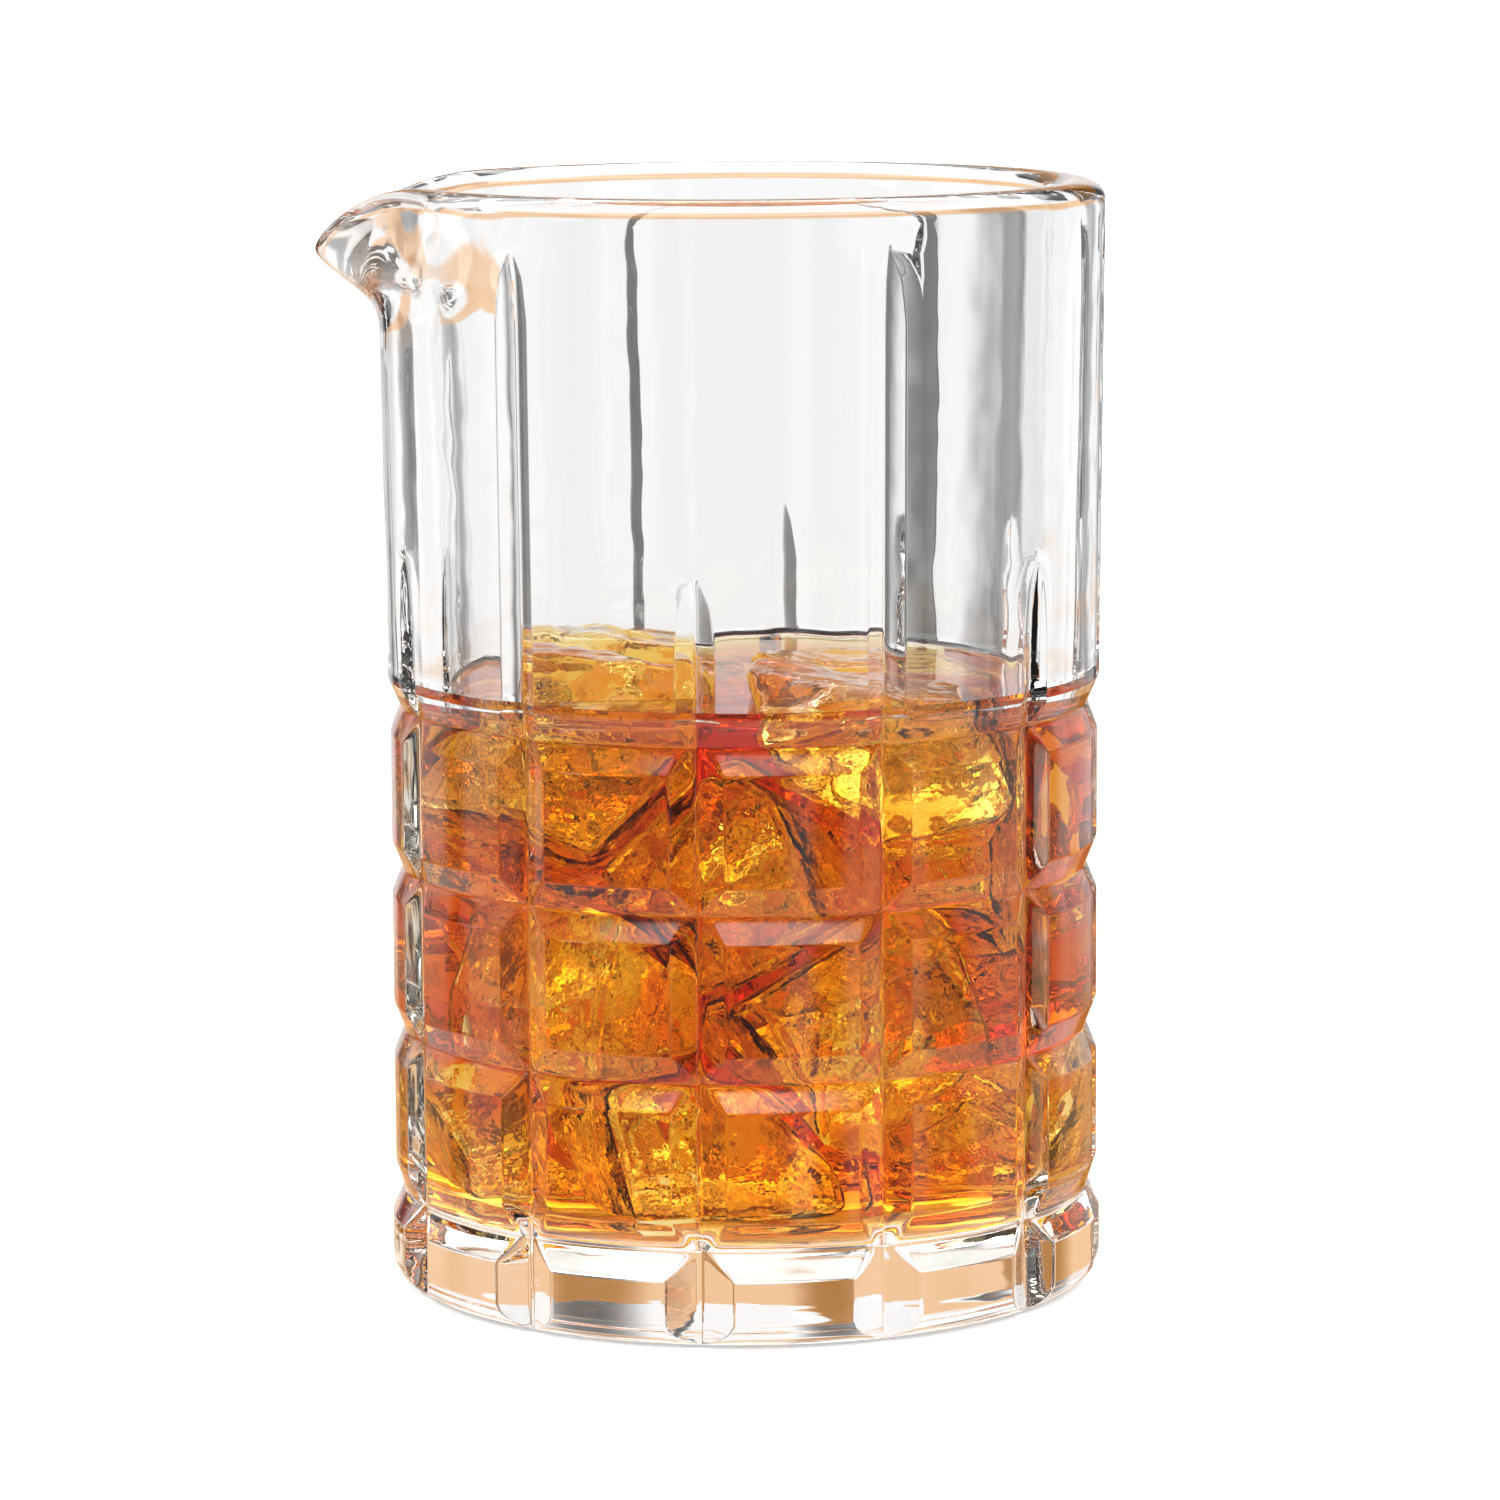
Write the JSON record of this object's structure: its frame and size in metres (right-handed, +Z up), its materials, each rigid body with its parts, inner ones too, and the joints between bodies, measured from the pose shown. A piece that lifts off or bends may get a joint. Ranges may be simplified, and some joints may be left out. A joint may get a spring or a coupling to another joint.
{
  "type": "mixing glass",
  "caption": "Heavy cut bar glass with a pouring lip and raised tiles round its lower wall, holding a stirred amber drink over ice.",
  "frame": {"origin": "centre of the flat underside, on the glass's axis", "axes": "+Z up along the glass's axis, the pouring lip points along -X, +Y completes a right-handed frame"},
  "size_m": [0.0989, 0.0904, 0.138],
  "materials": {
    "clear_glass": "polished",
    "amber_liquid": "polished",
    "ice": "gloss"
  },
  "bodies": {
    "glass": {"mixing_glass": "clear_glass", "drink": "amber_liquid"},
    "ice": {"ice_01": "ice", "ice_02": "ice", "ice_03": "ice", "ice_04": "ice", "ice_05": "ice", "ice_06": "ice", "ice_07": "ice", "ice_08": "ice", "ice_09": "ice", "ice_10": "ice", "ice_11": "ice", "ice_12": "ice", "ice_13": "ice", "ice_14": "ice", "ice_15": "ice", "ice_16": "ice"}
  },
  "joints": [
    {"name": "ice_lift", "type": "slide", "parent": "glass", "child": "ice", "axis": [0, 0, 1], "range_m": [0, 0.15], "deforming": ["drink"]}
  ]
}
